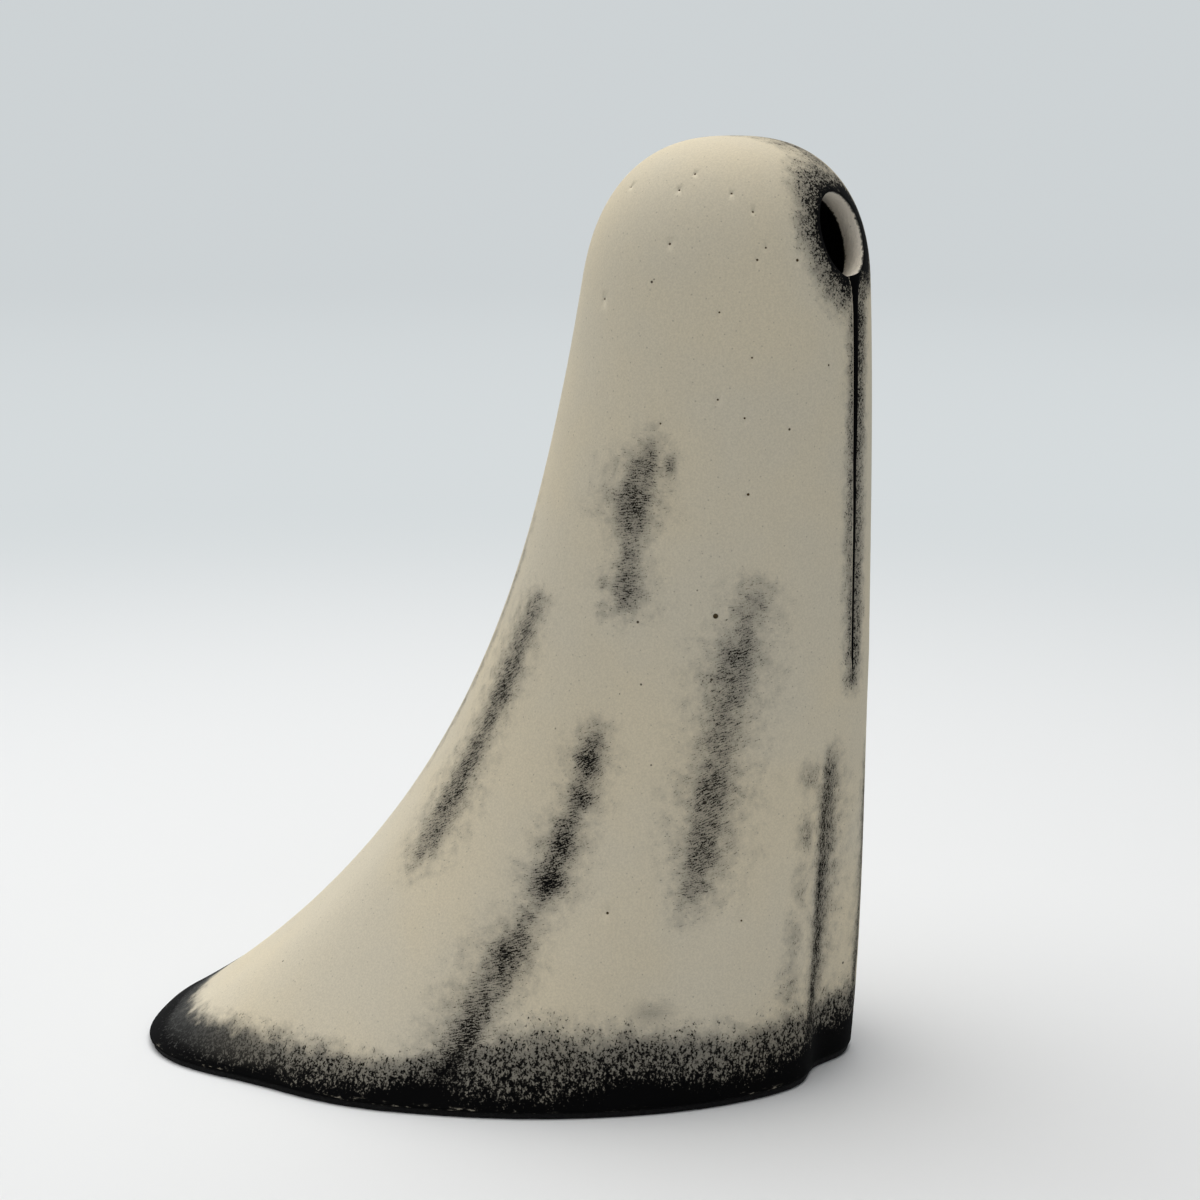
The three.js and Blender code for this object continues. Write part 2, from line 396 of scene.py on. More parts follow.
# %% Open the pinholes
# Each pinhole: angle in degrees, height and radius in mm. Those past zero are on the far side.
PINHOLES = (
    (-73.6, 76.4, 0.45), (-68.2, 95.0, 0.24), (-71.0, 66.6, 0.22), (-63.9, 47.4, 0.36),
    (-108.4, 132.6, 0.20), (-74.2, 137.4, 0.18), (-68.8, 132.1, 0.17), (-72.2, 130.3, 0.20),
    (-55.3, 130.2, 0.26), (-138.2, 124.0, 0.20), (-71.8, 115.7, 0.17), (-38.8, 114.2, 0.19),
    (-83.4, 109.4, 0.18), (-104.4, 105.6, 0.17), (-103.8, 143.0, 0.19), (-83.8, 140.1, 0.18),
    (-109.4, 140.6, 0.18), (-85.8, 122.5, 0.17), (-72.6, 106.6, 0.18), (-142.6, 141.0, 0.18),
    (59.0, 118.0, 0.20), (94.0, 72.0, 0.26), (149.0, 60.0, 0.20), (23.0, 96.0, 0.18),
    (127.0, 110.0, 0.20), (83.0, 36.0, 0.20), (-81.5, 30.5, 0.24), (-44.5, 28.5, 0.18),
)
PINHOLE_SIDES = 12
PINHOLE_RINGS = ((0.84, 0.5), (0.45, 0.8))


def face_finder(bm):
    """A search tree over the middles of the faces, and the faces by their number in it."""
    faces = list(bm.faces)
    tree = KDTree(len(faces))
    for number, face in enumerate(faces):
        tree.insert(face.calc_center_median(), number)
    tree.balance()
    return tree, faces


def open_pinhole(bm, finder, faces, angle, height, radius):
    spot, normal = surface_point(angle, height)
    middle = faces[finder.find(placed(spot))[1]]
    block = {face for vert in middle.verts for face in vert.link_faces}
    border = [edge for edge in {e for face in block for e in face.edges}
              if sum(face in block for face in edge.link_faces) == 1]
    bmesh.ops.delete(bm, geom=list(block), context="FACES")
    across = np.cross((0, 0, 1), normal)
    across /= np.linalg.norm(across)
    upward = np.cross(normal, across)
    ring = bmesh.ops.create_circle(bm, segments=PINHOLE_SIDES, radius=1.0)["verts"]
    flat = np.array([vert.co for vert in ring])
    set_ring(ring, spot + radius * (flat[:, :1] * across + flat[:, 1:2] * upward))
    loop = ring_edges(ring)
    bmesh.ops.bridge_loops(bm, edges=border + loop)
    for share, depth in PINHOLE_RINGS:
        ring, loop = extruded(bm, loop)
        apart = np.array([vert.co for vert in ring]) / MM - AXIS - spot
        apart -= (apart @ normal)[:, None] * normal
        apart *= radius * share / np.linalg.norm(apart, axis=1, keepdims=True)
        set_ring(ring, spot + apart - normal * radius * depth)
    bmesh.ops.contextual_create(bm, geom=loop)


def extruded(bm, edges):
    made = bmesh.ops.extrude_edge_only(bm, edges=edges)["geom"]
    verts = [item for item in made if isinstance(item, bmesh.types.BMVert)]
    return verts, ring_edges(verts)


def set_ring(verts, points):
    for vert, point in zip(verts, placed(points)):
        vert.co = point


# %% [markdown]
# ## Join the skins
# The outer skin's hem turns in under the wall, up round the seat of the board, and meets the inner
# skin. At the opening a band of faces makes the cut through the wall. Then the two edges that a
# hand would feel, the rim and the foot of the hem, are rounded with a bevel.

# %% Build the shroud
OUTER_COLUMNS = 288
INNER_COLUMNS = 120
BOARD_THICKNESS = 2.0
BOARD_LEDGE = 1.6
RIM_ROUNDING = 0.22
HEM_ROUNDING = 0.55
PAINTED, CUT, INSIDE = 0, 1, 2


def laid_outline(angle, height, thickness, z):
    """The outline at a height, moved in level by a thickness, and laid at z."""
    level = np.full_like(angle, height / SHOULDER)
    normal = cloak_normal(angle, level)
    slope = np.linalg.norm(normal[:, :2], axis=1, keepdims=True)
    points = cloak(angle, level)
    points[:, :2] -= normal[:, :2] / slope * (thickness / slope)
    points[:, 2] = z
    return points


def ring_angle(verts):
    return form_place(np.array([vert.co for vert in verts]))[0]


def level_rows(first, body, dome):
    return np.concatenate([np.linspace(first, 1, body + 1), np.linspace(1, 2, dome + 1)[1:]])


def mark_new(bm, known, index):
    for face in bm.faces:
        if face not in known:
            face.material_index = index
    return set(bm.faces)


def round_off(bm, edges, radius, segments):
    bmesh.ops.bevel(bm, geom=edges, offset=radius * MM, segments=segments, profile=0.5,
                    affect="EDGES", material=-1, clamp_overlap=True)


shroud_mesh = bpy.data.meshes.new("shroud")
bm = bmesh.new()
outer_faces = wrap_sheet(bm, OUTER_COLUMNS, level_rows(0, 96, 40), 0.0)
outer_rim = open_face(bm, outer_faces, 0.0)
press_groove(bm.verts)
finder, faces = face_finder(bm)
for pinhole in PINHOLES:
    open_pinhole(bm, finder, faces, *pinhole)
outer_hem = [edge for edge in bm.edges if edge.is_boundary and edge.verts[0].co.z < 1.5 * MM]
hem_arris = list(outer_hem)
foot, foot_edges = extruded(bm, outer_hem)
set_ring(foot, laid_outline(ring_angle(foot), BOARD_THICKNESS, WALL - BOARD_LEDGE, 0.0))
seat, seat_edges = extruded(bm, foot_edges)
set_ring(seat, laid_outline(ring_angle(seat), BOARD_THICKNESS, WALL - BOARD_LEDGE, BOARD_THICKNESS))
known = mark_new(bm, set(), PAINTED)
inner_faces = wrap_sheet(bm, INNER_COLUMNS, level_rows(BOARD_THICKNESS / SHOULDER, 56, 20), WALL)
inner_low = [edge for edge in bm.edges if edge.is_boundary and edge not in seat_edges
             and edge.verts[0].co.z < 12 * MM and edge.verts[1].co.z < 12 * MM]
inner_rim = open_face(bm, inner_faces, WALL)
bmesh.ops.bridge_loops(bm, edges=seat_edges + inner_low)
known = mark_new(bm, known, INSIDE)
bmesh.ops.bridge_loops(bm, edges=outer_rim + inner_rim)
mark_new(bm, known, CUT)
bmesh.ops.recalc_face_normals(bm, faces=bm.faces)
round_off(bm, outer_rim, RIM_ROUNDING, 2)
round_off(bm, hem_arris, HEM_ROUNDING, 3)
bmesh.ops.recalc_face_normals(bm, faces=bm.faces)
open_edges = [edge for edge in bm.edges if not edge.is_manifold]
for face in bm.faces:
    face.smooth = True
bm.to_mesh(shroud_mesh)
print("shroud:", len(bm.faces), "faces,", len(open_edges), "open edges,",
      round(bm.calc_volume() / MM**3 / 1000, 1), "cm3")
bm.free()
shroud = bpy.data.objects.new("shroud", shroud_mesh)
bpy.context.scene.collection.objects.link(shroud)

# %% [markdown]
# ## Where the black paint lies
# Dry brushing leaves paint where a nearly dry brush is dragged over the folds: thick in the middle
# of a stroke, then only hairs and specks. A painter works by eye. Here each stroke is a line of
# stations on the form, with a reach to either side and a load of paint, and every point of the
# mesh gets the load it would receive. The materials below break that load up into hairs.

# %% The strokes
# Each station: angle in degrees, height in mm, reach to the left and right in mm, load.
STROKES = {
    "shoulder": (12, (
        (-106.2, 104.4, 1.8, 1.8, 0.27), (-107.0, 101.1, 1.9, 2.7, 0.56), (-107.6, 98.8, 2.3, 3.2, 0.70),
        (-109.4, 96.8, 2.7, 3.5, 0.56), (-110.0, 95.0, 3.0, 3.2, 0.77), (-109.8, 92.0, 2.7, 3.5, 0.76),
        (-109.4, 89.2, 2.4, 2.7, 0.67), (-109.2, 87.2, 1.9, 1.8, 0.56), (-108.4, 84.2, 2.2, 2.0, 0.56),
        (-107.4, 80.7, 2.6, 2.4, 0.70), (-107.2, 77.9, 3.0, 2.3, 0.54), (-108.4, 75.2, 2.7, 1.6, 0.20))),
    "train_high": (50, (
        (-141.6, 77.0, 2.2, 2.7, 0.50), (-143.6, 72.6, 2.2, 3.6, 0.62), (-144.4, 67.3, 2.3, 3.9, 0.63),
        (-145.0, 63.0, 2.2, 3.3, 0.79), (-146.2, 56.5, 2.3, 2.7, 0.63), (-146.0, 51.7, 2.4, 2.8, 0.68),
        (-145.8, 47.6, 2.7, 3.3, 0.70), (-145.6, 44.1, 3.0, 3.4, 0.68), (-145.2, 39.6, 3.2, 3.3, 0.61),
        (-145.2, 35.8, 3.0, 2.8, 0.52), (-144.4, 31.4, 2.2, 2.1, 0.18))),
    "side_long": (38, (
        (-105.6, 59.0, 2.0, 1.9, 0.40), (-105.2, 53.2, 2.1, 2.0, 0.98), (-104.0, 50.6, 1.9, 1.8, 0.62),
        (-103.4, 47.9, 2.1, 2.2, 0.84), (-104.0, 45.1, 2.2, 2.1, 0.52), (-103.6, 40.1, 2.4, 2.3, 0.94),
        (-103.2, 37.4, 2.3, 2.3, 0.66), (-102.8, 34.8, 2.5, 2.5, 1.08), (-103.2, 30.8, 2.5, 2.5, 0.42),
        (-103.4, 27.2, 2.6, 2.6, 0.52), (-102.8, 23.7, 2.6, 3.0, 0.90), (-101.6, 17.6, 2.6, 3.8, 0.58),
        (-100.4, 12.1, 2.6, 3.2, 0.84), (-98.8, 7.8, 2.6, 3.0, 0.88), (-98.4, 3.0, 2.6, 3.0, 0.82))),
    "side_front": (30, (
        (-59.2, 81.2, 3.2, 2.9, 0.33), (-61.0, 78.0, 3.5, 3.2, 0.51), (-63.2, 74.9, 3.2, 2.9, 0.45),
        (-63.2, 70.8, 3.5, 3.5, 0.67), (-64.4, 65.8, 3.8, 3.5, 0.61), (-64.0, 60.3, 3.8, 3.4, 0.55),
        (-63.8, 53.4, 4.0, 3.2, 0.55), (-63.0, 48.9, 3.8, 3.2, 0.73), (-61.6, 45.6, 3.8, 3.2, 0.61),
        (-60.4, 40.3, 3.5, 3.2, 0.69), (-60.0, 37.6, 3.5, 2.9, 0.65), (-59.8, 33.0, 3.2, 2.8, 0.49),
        (-60.6, 28.4, 2.9, 2.0, 0.20))),
    "front_lobe": (80, (
        (-24.6, 53.4, 2.3, 1.1, 0.42), (-24.2, 50.0, 2.5, 1.4, 0.72), (-24.2, 45.9, 2.8, 1.4, 0.76),
        (-23.0, 39.3, 3.0, 1.4, 0.78), (-21.4, 31.0, 2.8, 1.4, 0.82), (-19.6, 22.4, 2.5, 1.4, 0.84),
        (-18.8, 14.9, 2.5, 1.4, 0.86), (-18.4, 6.0, 3.0, 1.5, 0.90))),
    "back_edge": (40, (
        (-164.0, 94.0, 1.2, 1.2, 0.14), (-166.5, 84.0, 1.3, 1.3, 0.34), (-168.8, 70.0, 1.4, 1.4, 0.38),
        (-171.0, 55.0, 1.4, 1.4, 0.36), (-172.5, 41.0, 1.3, 1.3, 0.14))),
    "front_edge": (75, (
        (-4.2, 52.0, 1.0, 1.2, 0.26), (-3.8, 44.0, 1.1, 1.4, 0.68), (-3.2, 28.0, 1.2, 1.5, 0.72),
        (-2.8, 8.0, 1.3, 1.6, 0.81))),
    "far_front_lobe": (100, (
        (9.6, 54.0, 0.9, 1.2, 0.4), (10.6, 40.0, 1.0, 1.4, 0.84), (11.8, 24.0, 1.0, 1.3, 0.88),
        (12.8, 6.0, 1.0, 1.4, 1.0))),
    "far_side_front": (150, (
        (42.0, 76.0, 2.2, 2.0, 0.34), (41.4, 66.0, 2.6, 2.2, 0.62), (40.8, 54.0, 2.4, 2.6, 0.56),
        (40.2, 42.0, 2.2, 2.6, 0.72), (39.6, 30.0, 2.0, 2.2, 0.2))),
    "far_side_low": (140, (
        (65.6, 57.0, 2.2, 2.4, 0.4), (66.2, 45.0, 2.8, 3.0, 0.84), (66.6, 30.0, 3.0, 3.2, 0.72),
        (67.4, 16.0, 3.4, 3.0, 0.8), (68.0, 4.0, 3.0, 2.8, 0.9))),
    "far_shoulder": (168, (
        (103.0, 98.0, 1.6, 1.4, 0.3), (103.6, 90.0, 2.4, 1.8, 0.82), (104.2, 80.0, 1.8, 1.6, 0.7),
        (105.0, 70.0, 1.6, 1.8, 0.2))),
    "far_side_long": (146, (
        (104.6, 54.0, 2.2, 2.4, 0.4), (105.2, 42.0, 3.0, 3.2, 0.9), (105.8, 26.0, 3.4, 3.0, 0.76),
        (106.0, 8.0, 3.0, 2.8, 0.94), (106.2, 3.0, 2.8, 2.8, 0.8))),
    "far_train_high": (132, (
        (139.4, 72.0, 2.0, 1.6, 0.36), (140.4, 58.0, 2.2, 1.8, 0.82), (141.2, 42.0, 2.2, 2.0, 0.74),
        (141.8, 29.0, 1.6, 1.8, 0.2))),
    "back_middle": (90, (
        (171.0, 98.0, 1.6, 1.6, 0.3), (171.0, 84.0, 1.8, 2.0, 0.78), (171.0, 62.0, 2.0, 1.8, 0.8),
        (171.0, 40.0, 1.8, 1.8, 0.3))),
}
# Softer dabs beside the strokes: angle, height, radius round and up in mm, load.
DABS = (
    (-98.6, 99.6, 1.4, 2.4, 0.62), (-100.2, 94.5, 1.2, 1.8, 0.4), (-119.6, 98.8, 1.3, 2.6, 0.4),
    (-121.4, 92.8, 1.0, 3.4, 0.3), (-116.4, 80.7, 1.1, 1.8, 0.48), (-114.8, 76.4, 1.3, 1.8, 0.44),
    (-31.6, 49.9, 2.8, 3.0, 0.44), (-30.4, 40.6, 2.4, 4.2, 0.46), (-29.6, 32.3, 2.2, 4.6, 0.36),
    (-29.0, 24.0, 2.4, 5.0, 0.38), (-27.8, 16.6, 2.8, 5.0, 0.42), (-57.6, 14.6, 4.2, 2.4, 0.42),
    (19.0, 44.0, 2.4, 3.0, 0.42), (20.0, 30.0, 2.4, 4.6, 0.38), (94.0, 92.0, 1.4, 2.4, 0.44),
)


# A stroke's core and the faint halo of hairs round it, in shares of the load and of the reach
CORE_SHARE, CORE_REACH = 0.64, 0.92
HALO_SHARE, HALO_REACH = 0.41, 2.7
FAR_SIDE = 14.0


def stroke_load(stations, points):
    """Load of one stroke at points, and how far they lie across it and along it in mm."""
    stations = np.array(stations)
    fine = np.linspace(0, len(stations) - 1, 8 * len(stations))
    angle, height, left, right, load = (
        np.interp(fine, np.arange(len(stations)), column) for column in stations.T)
    line, normal = surface_point(angle, height)
    heading = np.gradient(line, axis=0)
    spacing = np.linalg.norm(heading, axis=1, keepdims=True)
    heading = heading / spacing
    run = np.concatenate([[0], np.cumsum(np.linalg.norm(np.diff(line, axis=0), axis=1))])
    sideways = np.cross(normal, heading)
    apart = points[:, None, :] - line[None]
    nearest = (apart**2).sum(-1).argmin(1)
    apart = apart[np.arange(len(points)), nearest]
    across = -(apart * sideways[nearest]).sum(-1)
    along = run[nearest] + (apart * heading[nearest]).sum(-1)
    beyond = np.clip(np.maximum(-along, along - run[-1]), 0, None)
    reach = np.where(across < 0, left[nearest], right[nearest])
    away = np.sqrt((across / reach) ** 2 + (beyond / 1.2) ** 2)
    spread = CORE_SHARE * np.exp(-((away / CORE_REACH) ** 2))
    spread = spread + HALO_SHARE * np.exp(-((away / HALO_REACH) ** 2))
    far = np.linalg.norm(apart, axis=1) > FAR_SIDE
    return np.where(far, 0, load[nearest] * spread), across, along


# %% [markdown]
# The hem is dipped darkest at its foot and fades upwards to a ragged top. Its stations give the
# angle, the height the paint reaches and the height to which it is solid. Round the opening the
# brush was dabbed outwards from the rim, further over the brow than beside it.

# %% The hem, the face and the groove
HEM = (
    (-180, 5.6, 2.0), (-174, 4.6, 1.8), (-168, 4.8, 1.2), (-157, 6.0, 1.0), (-150, 6.6, 0.9),
    (-143, 6.8, 0.8), (-137, 6.6, 1.2), (-129, 6.6, 0.8), (-120, 6.2, 0.9), (-112, 6.6, 1.2),
    (-105, 8.6, 2.8), (-96, 9.8, 3.2), (-90, 11.4, 1.6), (-80, 12.8, 1.2), (-69, 11.2, 1.4),
    (-62, 12.2, 2.6), (-56, 11.8, 4.0), (-49, 11.4, 3.8), (-43, 11.0, 2.8), (-37, 10.4, 2.4),
    (-30, 11.6, 2.6), (-25, 12.6, 3.0), (-20, 11.2, 3.8), (-15, 11.4, 5.0), (-10, 12.2, 5.2),
    (-4, 12.2, 5.2), (4, 11.8, 5.0), (12, 10.8, 3.8), (22, 12.6, 2.0), (36, 10.4, 1.2),
    (52, 12.4, 3.4), (66, 11.0, 1.6), (82, 12.0, 1.0), (98, 9.8, 3.0), (114, 9.0, 1.2),
    (130, 8.2, 1.0), (146, 8.6, 1.8), (162, 6.8, 1.4), (180, 5.6, 2.0),
)
BROW_REACH, CHEEK_REACH, CHIN_REACH = 6.4, 4.4, 6.4
# Load at shares of the reach from the rim, and at distances in mm from it on the far side
RIM_SHARES, RIM_LOADS = (0, 0.03, 0.12, 0.3, 0.7, 1.0, 1.3), (1.9, 1.45, 1.14, 0.84, 0.5, 0.22, 0)
FAR_DISTANCES, FAR_LOADS = (0, 1.8, 3.6, 5.2, 6.4), (1.9, 1.5, 0.84, 0.4, 0)
# How far behind the face its paint starts to thin, and the depth on the form where it stops
THINS_BEHIND, STOPS_AT = 8.0, 8.0


def hem_load(angle, height):
    table = np.array(HEM)
    degrees = np.degrees(wrapped(angle))
    top = np.interp(degrees, table[:, 0], table[:, 1])
    solid = np.interp(degrees, table[:, 0], table[:, 2])
    share = (np.clip(height, 0, None) - solid) / (top - solid)
    return np.interp(share, (-0.3, 0, 0.1, 0.35, 0.6, 0.85, 1.1, 1.5),
                     (1.9, 1.35, 1.06, 0.9, 0.76, 0.54, 0.24, 0))


def face_load(points):
    """Load round the opening, by the distance from the rim, and in a strip along the groove's line.

    The strip keeps a share of its load above the opening, so it runs on over the crown to STOPS_AT.
    """
    across, up = face_place(points)
    behind = np.clip(points[:, 1] - FACE_MIDDLE[1] - THINS_BEHIND, 0, None)
    outside = np.clip(np.hypot(across, up) - 1, 0, None) * FACE_WIDTH / 2 + 0.8 * behind
    way = np.arctan2(up, across)
    upward = np.clip(np.sin(way), 0, 1) ** 2
    downward = np.clip(-np.sin(way), 0, 1) ** 2
    reach = CHEEK_REACH + (BROW_REACH - CHEEK_REACH) * upward + (CHIN_REACH - CHEEK_REACH) * downward
    load = np.interp(outside / reach, RIM_SHARES, RIM_LOADS)
    far = np.clip((np.cos(way) - 0.1) / 0.6, 0, 1)
    load = np.maximum(load, far * np.interp(outside, FAR_DISTANCES, FAR_LOADS))
    half, _ = groove_at(points[:, 2])
    beside = np.clip(np.abs(points[:, 0]) - half, 0, None)
    high = np.interp(points[:, 2], (100, 122), (0, 1))
    width = np.where(points[:, 0] > 0, 3.2 + 0.8 * high, 2.6 - 0.5 * high)
    strip = np.where(points[:, 0] > 0, 0.72 + 0.26 * high, 0.62) * np.exp(-((beside / width) ** 2))
    ends = np.interp(points[:, 2], (GROOVE_END - 3, GROOVE_END + 1, 122, 124), (0, 1, 1, 0.6))
    load = np.maximum(load, strip * ends)
    return np.where(points[:, 1] < STOPS_AT, load, 0)


def groove_gap(points):
    """How far inside the groove's lip a point lies, in mm; outside it is negative."""
    half, _ = groove_at(points[:, 2])
    gap = np.where((half > 0) & (points[:, 2] < GROOVE_TOP + 0.6), half - np.abs(points[:, 0]), -3.0)
    return np.where(points[:, 1] < 0, np.clip(gap, -3, 3), -3.0)


def wall_share(angle, height, points):
    """How far through the wall points lie: 0 on the outside, 1 on the inside."""
    level = level_at(height)
    inward = np.linalg.norm((cloak(angle, level) - points)[:, :2], axis=1)
    return inward * np.linalg.norm(cloak_normal(angle, level)[:, :2], axis=1) / WALL


def add_attribute(mesh, name, kind, values):
    attribute = mesh.attributes.new(name, kind, "POINT")
    field = "value" if kind == "FLOAT" else "vector"
    attribute.data.foreach_set(field, np.ascontiguousarray(values, np.float32).ravel())


positions = np.zeros(len(shroud_mesh.vertices) * 3)
shroud_mesh.vertices.foreach_get("co", positions)
angle, height, points = form_place(positions.reshape(-1, 3))
streak = np.zeros(len(points))
hair_place = np.zeros((len(points), 3))
for name, (slant, stations) in STROKES.items():
    load, across, along = stroke_load(stations, points)
    stronger = load > streak
    streak = np.maximum(streak, load)
    lean = math.radians(slant)
    rotated = np.stack([across * math.cos(lean) + along * math.sin(lean),
                        along * math.cos(lean) - across * math.sin(lean), 0 * across], -1)
    hair_place[stronger] = rotated[stronger]
for dab_angle, dab_height, wide, tall, load in DABS:
    spot, normal = surface_point(dab_angle, dab_height)
    apart = points - spot
    level_way = np.cross((0, 0, 1), normal)
    round_part = apart @ (level_way / np.linalg.norm(level_way)) / wide
    up_part = np.sqrt(np.clip((apart**2).sum(-1) - (round_part * wide) ** 2, 0, None)) / tall
    streak = np.maximum(streak, load * np.exp(-(round_part**2 + up_part**2)))
# Marks the insides of the opened pinholes, which the finish darkens as painted shade
pinhole = np.zeros(len(points))
for hole_angle, hole_height, radius in PINHOLES:
    spot, normal = surface_point(hole_angle, hole_height)
    apart = points - spot
    depth = apart @ normal
    lateral = np.sqrt(np.clip((apart**2).sum(-1) - depth**2, 0, None))
    inside = np.clip((radius - lateral) / (0.14 * radius), 0, 1)
    pinhole = np.maximum(pinhole, np.where(np.abs(depth) < 1, inside, 0))
add_attribute(shroud_mesh, "streak", "FLOAT", streak)
add_attribute(shroud_mesh, "pinhole", "FLOAT", pinhole)
add_attribute(shroud_mesh, "hair_place", "FLOAT_VECTOR", hair_place)
add_attribute(shroud_mesh, "hem", "FLOAT", hem_load(angle, height))
add_attribute(shroud_mesh, "face", "FLOAT", face_load(points))
add_attribute(shroud_mesh, "groove", "FLOAT", groove_gap(points))
add_attribute(shroud_mesh, "wall_share", "FLOAT", wall_share(angle, height, points))
print("paint loads: streak up to", streak.max().round(2), "on", int((streak > 0.2).sum()), "points")

# %% [markdown]
# ## Finishes
# Small helpers keep the node wiring readable: one adds a node, one does a sum, one makes a group
# with named inputs and outputs.

# %% Node helpers


def add(tree, kind, inputs=None, **settings):
    """A node with its settings. Inputs may be values or other nodes' outputs."""
    node = tree.nodes.new("ShaderNode" + kind)
    for name, value in settings.items():
        setattr(node, name, value)
    for name, value in (inputs or {}).items():
        if isinstance(value, bpy.types.NodeSocket):
            tree.links.new(value, node.inputs[name])
        else:
            node.inputs[name].default_value = value
    return node


def calc(tree, operation, *values, clamp=False):
    """A sum of numbers. Returns its output."""
    node = add(tree, "Math", dict(enumerate(values)), operation=operation, use_clamp=clamp)
    return node.outputs[0]


def blend_colour(tree, factor, first, second):
    node = add(tree, "Mix", data_type="RGBA")
    for socket, value in zip((node.inputs[0], node.inputs[6], node.inputs[7]), (factor, first, second)):
        if isinstance(value, bpy.types.NodeSocket):
            tree.links.new(value, socket)
        else:
            socket.default_value = value
    return node.outputs[2]


def scaled(tree, vector, x, y, z):
    node = add(tree, "VectorMath", {0: vector, 1: (x, y, z)}, operation="MULTIPLY")
    return node.outputs[0]


def noise(tree, vector, scale=1.0, detail=2.0, roughness=0.55):
    node = add(tree, "TexNoise", {"Vector": vector, "Scale": scale, "Detail": detail,
                                  "Roughness": roughness})
    return node.outputs[0]


def ramp(tree, value, low, high, to_low=0.0, to_high=1.0):
    """A smooth step between two values."""
    node = add(tree, "MapRange", {"Value": value, "From Min": low, "From Max": high,
                                  "To Min": to_low, "To Max": to_high},
               interpolation_type="SMOOTHSTEP")
    return node.outputs[0]


def new_group(name, inputs, outputs):
    """An empty node group with sockets. Returns it with its input and output nodes."""
    tree = bpy.data.node_groups.new(name, "ShaderNodeTree")
    kinds = {"f": "NodeSocketFloat", "v": "NodeSocketVector", "c": "NodeSocketColor"}
    for label, (kind, value) in inputs.items():
        socket = tree.interface.new_socket(label, in_out="INPUT", socket_type=kinds[kind])
        socket.default_value = value
    for label, kind in outputs.items():
        tree.interface.new_socket(label, in_out="OUTPUT", socket_type=kinds[kind])
    return tree, tree.nodes.new("NodeGroupInput"), tree.nodes.new("NodeGroupOutput")


def use(tree, group, **inputs):
    """Places a group in a material. Underscores stand for the spaces of its input names."""
    node = tree.nodes.new("ShaderNodeGroup")
    node.node_tree = group
    for name, value in inputs.items():
        socket = node.inputs[name.replace("_", " ")]
        if isinstance(value, bpy.types.NodeSocket):
            tree.links.new(value, socket)
        else:
            socket.default_value = value
    return node


def new_material(name):
    material = bpy.data.materials.new(name)
    material.use_nodes = True
    tree = material.node_tree
    return material, tree, tree.nodes["Principled BSDF"]


def millimetres(tree):
    """Object coordinates in mm."""
    place = add(tree, "TexCoord").outputs["Object"]
    return scaled(tree, place, 1000, 1000, 1000)


def emboss(tree, surface, height, strength, distance):
    """Gives a finish its relief. The distance is in metres."""
    bump = add(tree, "Bump", {"Height": height, "Strength": strength, "Distance": distance})
    tree.links.new(bump.outputs[0], surface.inputs["Normal"])


# %% [markdown]
# ### Dry brush
# A dry brush leaves hairs and specks whose number grows with the load. The group adds a stretched
# noise for the hairs, a fine one for the specks and a coarse one for the clumps to the load. The
# sum runs softly from bare to black, as thin paint does, and a grey film lies between the specks.

# %% The dry brush group
dry_brush, group_in, group_out = new_group(
    "Dry brush",
    {"Load": ("f", 0.0), "Place": ("v", (0, 0, 0)), "Hair": ("v", (3, 3, 1)), "Speck size": ("f", 0.3),
     "Clump size": ("f", 3.0), "Raggedness": ("f", 1.0), "Film": ("f", 0.4)},
    {"Black": "f", "Film": "f"})
hairs = noise(dry_brush, add(dry_brush, "VectorMath", {0: group_in.outputs["Place"],
              1: group_in.outputs["Hair"]}, operation="MULTIPLY").outputs[0], 1.0, 4.0, 0.62)
speck_scale = calc(dry_brush, "DIVIDE", 1.0, group_in.outputs["Speck size"])
specks = noise(dry_brush, group_in.outputs["Place"], speck_scale, 1.0, 0.6)
clump_scale = calc(dry_brush, "DIVIDE", 1.0, group_in.outputs["Clump size"])
clumps = noise(dry_brush, group_in.outputs["Place"], clump_scale, 3.0, 0.6)
patch = calc(dry_brush, "MULTIPLY", calc(dry_brush, "SUBTRACT", clumps, 0.5), 0.8)
uneven = calc(dry_brush, "MULTIPLY_ADD", calc(dry_brush, "SUBTRACT", hairs, 0.5), 2.3, patch)
uneven = calc(dry_brush, "MULTIPLY_ADD", calc(dry_brush, "SUBTRACT", specks, 0.5), 1.2, uneven)
uneven = calc(dry_brush, "MULTIPLY", uneven, group_in.outputs["Raggedness"])
loaded = calc(dry_brush, "ADD", group_in.outputs["Load"], uneven)
some = ramp(dry_brush, group_in.outputs["Load"], 0.02, 0.16)
black = calc(dry_brush, "MULTIPLY", ramp(dry_brush, loaded, 0.46, 1.04), some)
film_load = calc(dry_brush, "ADD", group_in.outputs["Load"], patch)
film = calc(dry_brush, "MULTIPLY", ramp(dry_brush, film_load, 0.0, 0.7), group_in.outputs["Film"])
dry_brush.links.new(black, group_out.inputs["Black"])
dry_brush.links.new(calc(dry_brush, "MULTIPLY", film, some), group_out.inputs["Film"])
